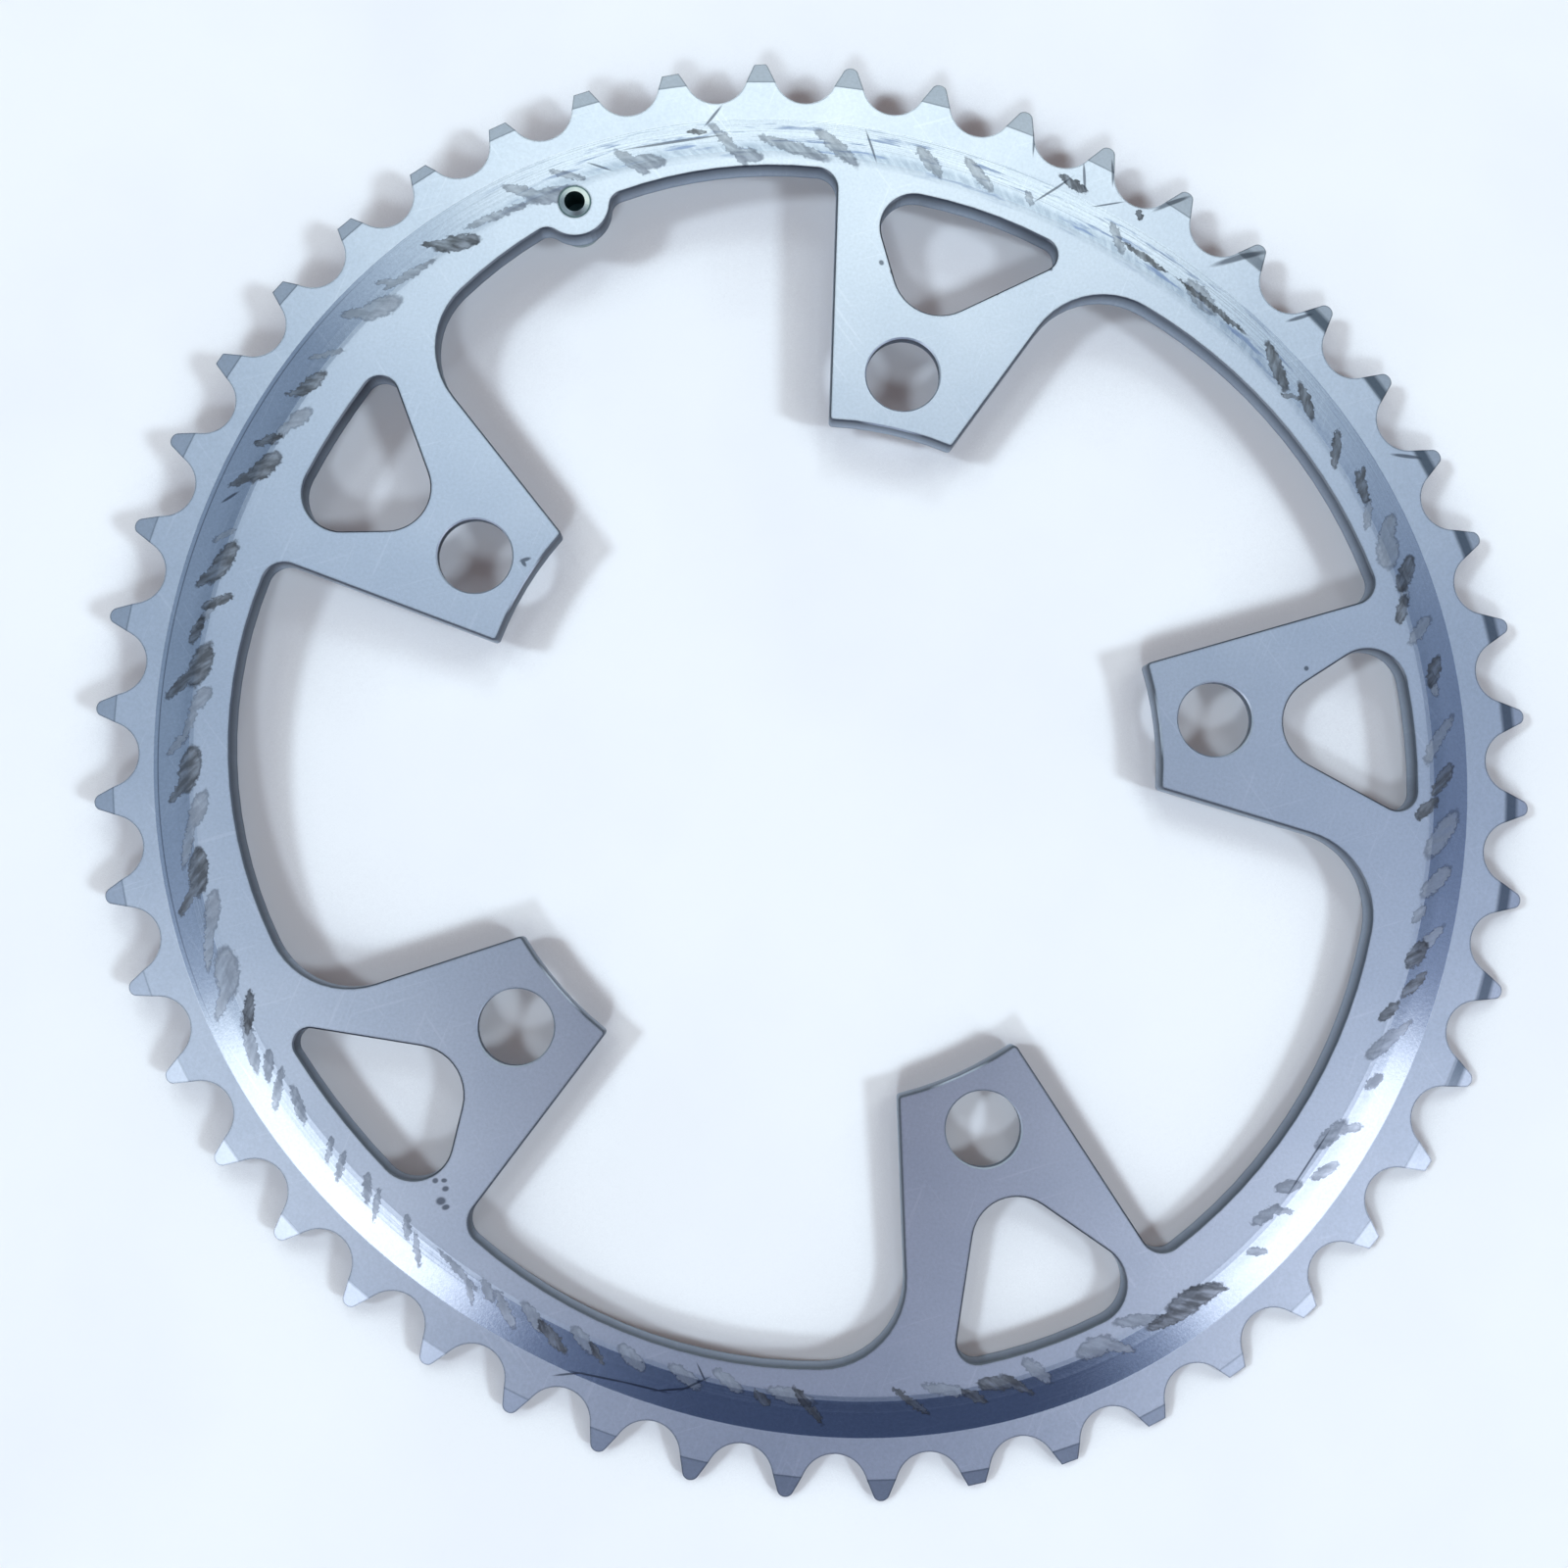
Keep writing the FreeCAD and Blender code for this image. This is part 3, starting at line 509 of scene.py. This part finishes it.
def dulled_shoulder(tree, depth, streak, inner_side, far):
    """Dulled shoulder, where the turned cone runs out into the web, deepest on the far side."""
    shoulder = between(tree, depth, SHOULDER_START, SHOULDER_END, 0.7)
    shoulder = add(tree, "Math", {0: shoulder, 1: streak}, operation="MULTIPLY")
    shoulder = add(tree, "Math", {0: shoulder, 1: inner_side}, operation="MULTIPLY")
    deeper = add(tree, "Math", {0: far.outputs[0], 1: 0.6, 2: 0.4}, operation="MULTIPLY_ADD")
    return add(tree, "Math", {0: shoulder, 1: deeper}, operation="MULTIPLY")


def turned_rings(tree, strip):
    """Rings that turning left on the cone, drawn 0.3 mm apart where the real ones are 0.1 mm."""
    drawn = add(tree, "Mapping", {"Vector": strip, "Scale": (0.02, 3.3, 1.0)})
    return add(tree, "TexNoise", {"Vector": drawn, "Scale": 1.0, "Detail": 1.0})


def broken_edges(tree, flat, facing, steep):
    """Broken edges and their chamfer faces, darkened with painted shade, but spared round the bolt
    holes, where they show bright.
    """
    softened = add(tree, "Bevel", {"Radius": EDGE_REACH}, samples=4)
    alike = add(tree, "VectorMath", {0: softened, 1: facing}, operation="DOT_PRODUCT")
    edge = add(tree, "MapRange", {"Value": alike.outputs["Value"], "From Min": 0.995,
                                  "From Max": 0.9})
    bores = []
    for index in range(BOLT_COUNT):
        towards = FIRST_BOLT_ANGLE + index * 360.0 / BOLT_COUNT
        bores.append((towards, BOLT_RADIUS - BRIGHT_STRETCH / 2,
                      towards, BOLT_RADIUS + BRIGHT_STRETCH / 2, BRIGHT_STRETCH))
    bore = add(tree, "MapRange", {"Value": strokes(tree, flat, bores), "From Min": 0.25,
                                  "From Max": 0.35, "To Min": 1.0, "To Max": 0.1})
    edge = add(tree, "Math", {0: edge.outputs[0], 1: between(tree, steep, 0.5, 0.85, 0.05)},
               operation="MAXIMUM")
    return add(tree, "Math", {0: edge, 1: bore.outputs[0]}, operation="MULTIPLY")


def facet_foot(tree, depth, angle, inner_side):
    """Foot of the tooth tips' facets: a painted reflection as a dark band on one quarter, a thin line
    elsewhere.
    """
    # The band is painted reflection, on the quarter round FOOT_BAND_ANGLE
    right = add(tree, "Math", {0: angle, 1: -math.radians(FOOT_BAND_ANGLE)}, operation="ADD")
    right = add(tree, "Math", {0: right}, operation="COSINE")
    right = add(tree, "MapRange", {"Value": right, "From Min": 0.72, "From Max": 0.82})
    band = between(tree, depth, FACET_DEPTH - FOOT_BAND_WIDTH, FACET_DEPTH, 0.35)
    band = add(tree, "Math", {0: band, 1: right.outputs[0]}, operation="MULTIPLY")
    foot = between(tree, depth, FACET_DEPTH - FOOT_LINE_WIDTH, FACET_DEPTH, 0.1)
    foot = add(tree, "Math", {0: foot, 1: 0.45}, operation="MULTIPLY")
    foot = add(tree, "Math", {0: band, 1: foot}, operation="MAXIMUM")
    return add(tree, "Math", {0: foot, 1: inner_side}, operation="MULTIPLY")


def anodised_aluminium():
    """Aluminium plate, milled, turned at the rim and silver anodised: satin on the flats, glossy on
    the turned cone, darkened and scratched where the chain rubs."""
    material, tree = new_material("anodised_aluminium")
    metres = add(tree, "TexCoord").outputs["Object"]
    place = add(tree, "VectorMath", {0: metres, "Scale": MM_PER_METRE}, operation="SCALE")
    flat = add(tree, "VectorMath", {0: place, 1: FLATTENED}, operation="MULTIPLY")
    depth, angle = rim_depth(tree, flat)
    facing = add(tree, "NewGeometry").outputs["True Normal"]
    facing_ways = add(tree, "SeparateXYZ", {0: facing}).outputs
    steep = facing_ways["Z"]
    inner_side = add(tree, "Math", {0: steep, 1: 0.5}, operation="GREATER_THAN")
    cone = between(tree, depth, BAND_DEPTH, CONE_END, 0.08)
    cone = add(tree, "Math", {0: cone, 1: inner_side}, operation="MULTIPLY")

    # Satin grain of the anodised flats, which is 0.05 mm and is drawn 0.4 mm to show, and cloudiness
    # in patches of 11 mm
    grain = add(tree, "TexNoise", {"Vector": place, "Scale": 2.4, "Detail": 3.0, "Roughness": 0.7})
    cloud = add(tree, "TexNoise", {"Vector": place, "Scale": 0.09, "Detail": 4.0})

    # Marks of use and of making
    hairs = fine_scratches(tree, flat)
    strip = unrolled_rim(tree, depth, angle)
    streak = sliding_streaks(tree, strip)
    pushed = ragged_places(tree, flat)
    dark, dark_border = rub_marks(tree, pushed, streak, inner_side, DARK_STROKES, 0.95, 0.3)
    pale, pale_border = rub_marks(tree, pushed, streak, inner_side, PALE_STROKES, 1.1, 0.36)
    nick = nicks(tree, flat, inner_side)
    line = tool_line(tree, depth, angle)
    scuff, far = far_scuffs(tree, strip, depth, angle)
    shoulder = dulled_shoulder(tree, depth, streak, inner_side, far)
    ring = turned_rings(tree, strip)
    edge = broken_edges(tree, flat, facing, steep)

    # Walls, painted with shade: darker on their upper part, and darker still where they face the right
    wall = between(tree, steep, -0.4, 0.4, 0.2)
    drop = add(tree, "SeparateXYZ", {0: place}).outputs["Z"]
    painted_wall_shade = add(tree, "MapRange", {"Value": drop, "From Min": -2.4, "From Max": -0.5, "To Min": 0.35})
    painted_wall_shade = add(tree, "Math", {0: painted_wall_shade.outputs[0], 1: wall}, operation="MULTIPLY")
    unlit = add(tree, "MapRange", {"Value": facing_ways["X"], "From Min": 0.5, "From Max": 0.9})
    unlit = add(tree, "Math", {0: unlit.outputs[0], 1: wall}, operation="MULTIPLY")
    foot = facet_foot(tree, depth, angle, inner_side)

    # Colour: the bare metal, then each mark over it by its mask, colour and strength
    bare = add(tree, "Mix", {0: cloud.outputs["Fac"], 6: linear("#A3AFBF"), 7: linear("#B3BDCB")},
               data_type="RGBA").outputs[2]
    speck = add(tree, "MapRange", {"Value": grain.outputs["Fac"], "From Min": 0.3, "From Max": 0.7,
                                   "To Min": 0.93, "To Max": 1.07})
    colour = add(tree, "VectorMath", {0: bare, "Scale": speck.outputs[0]}, operation="SCALE")
    # Of these layers, the two on the walls and the one on the edges are painted shade, and the facet
    # foot's is partly painted reflection
    layers = ((hairs, "#C6CEDA", 0.25), (shoulder, "#5C6C80", 0.6), (scuff, "#5A6C8E", 0.75),
              (pale, "#4A4C52", 0.42), (pale_border, "#3C4452", 0.4), (dark, "#343434", 0.8),
              (dark_border, "#2A2E36", 0.45), (line, "#3C4658", 0.7), (foot, "#22384A", 0.75),
              (painted_wall_shade, "#4A525E", 0.85), (unlit, "#2C333F", 0.6), (edge, "#2B3038", 0.8),
              (nick, "#2E3644", 0.75))
    for mask, over, strength in layers:
        share = add(tree, "Math", {0: mask, 1: strength}, operation="MULTIPLY")
        colour = add(tree, "Mix", {0: share, 6: colour, 7: linear(over)},
                     data_type="RGBA").outputs[2]

    # Roughness, and the relief of the grain and the turned rings
    gloss = add(tree, "MapRange", {"Value": cone, "To Min": FLAT_ROUGHNESS,
                                   "To Max": CONE_ROUGHNESS}).outputs[0]
    worn = add(tree, "Math", {0: dark, 1: pale}, operation="MAXIMUM")
    worn = add(tree, "Math", {0: worn, 1: wall}, operation="MAXIMUM")
    gloss = add(tree, "Math", {0: worn, 1: WORN_ROUGHNESS, 2: gloss}, operation="MULTIPLY_ADD")
    pitted = add(tree, "Math", {0: grain.outputs["Fac"], 1: GRAIN_RELIEF}, operation="MULTIPLY")
    turned = add(tree, "Math", {0: ring.outputs["Fac"], 1: cone}, operation="MULTIPLY")
    relief = add(tree, "Math", {0: turned, 1: RING_RELIEF, 2: pitted}, operation="MULTIPLY_ADD")
    bump = add(tree, "Bump", {"Height": relief, "Distance": BUMP_DISTANCE, "Strength": 0.5})
    shader = add(tree, "BsdfPrincipled", {"Base Color": colour, "Metallic": 1.0,
                                          "Roughness": gloss, "Normal": bump})
    add(tree, "OutputMaterial", {"Surface": shader})
    return material


def turned_steel():
    """Pin turned from bright steel bar, so it is bright and smooth. Its bore is painted dark with the
    shade inside it, and the seam round it is dark."""
    material, tree = new_material("turned_steel")
    metres = add(tree, "TexCoord").outputs["Object"]
    place = add(tree, "VectorMath", {0: metres, "Scale": MM_PER_METRE}, operation="SCALE")
    towards = math.radians(PIN_ANGLE)
    axis = (PIN_RADIUS * math.cos(towards), PIN_RADIUS * math.sin(towards), 0.0)
    centred = add(tree, "VectorMath", {0: place, 1: axis}, operation="SUBTRACT")
    centred = add(tree, "VectorMath", {0: centred, 1: FLATTENED}, operation="MULTIPLY")
    radius = add(tree, "VectorMath", {0: centred}, operation="LENGTH").outputs["Value"]
    drop = add(tree, "SeparateXYZ", {0: place}).outputs["Z"]

    # Cloudy shine, in patches of 0.7 mm
    cloud = add(tree, "TexNoise", {"Vector": metres, "Scale": 1500.0, "Detail": 2.0})
    colour = add(tree, "Mix", {0: cloud.outputs["Fac"], 6: linear("#8A9698"), 7: linear("#9FAAAC")},
                 data_type="RGBA")
    rim = add(tree, "Math", {0: between(tree, radius, PIN_RIM_INNER, PIN_RIM_OUTER, 0.06), 1: 0.9},
              operation="MULTIPLY")
    # The bore's dark colour is painted shade inside the hole
    bore = add(tree, "Math", {0: between(tree, radius, -1.0, PIN_BORE_RADIUS, 0.05),
                              1: between(tree, drop, PIN_BORE_BOTTOM, PIN_BORE_TOP, 0.05)},
               operation="MULTIPLY")
    dark = add(tree, "Math", {0: rim, 1: bore}, operation="MAXIMUM")
    dark = add(tree, "Math", {0: dark, 1: 0.93}, operation="MULTIPLY")
    colour = add(tree, "Mix", {0: dark, 6: colour.outputs[2], 7: linear("#3F5F60")},
                 data_type="RGBA")
    gloss = add(tree, "Math", {0: dark, 1: 0.35, 2: 0.22}, operation="MULTIPLY_ADD")
    shader = add(tree, "BsdfPrincipled", {"Base Color": colour.outputs[2], "Metallic": 1.0,
                                          "Roughness": gloss})
    add(tree, "OutputMaterial", {"Surface": shader})
    return material


def dress(node, material):
    """Gives a CAD node its finish."""
    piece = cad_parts[node]
    piece.data.materials.clear()
    piece.data.materials.append(material)


bpy.ops.object.select_all(action="DESELECT")
photograph_camera()
room_light()
table_lamps()
tabletop().data.materials.append(white_laminate())
dress("chainring", anodised_aluminium())
dress("chain_catch_pin", turned_steel())
bpy.context.scene.view_settings.view_transform = "Standard"
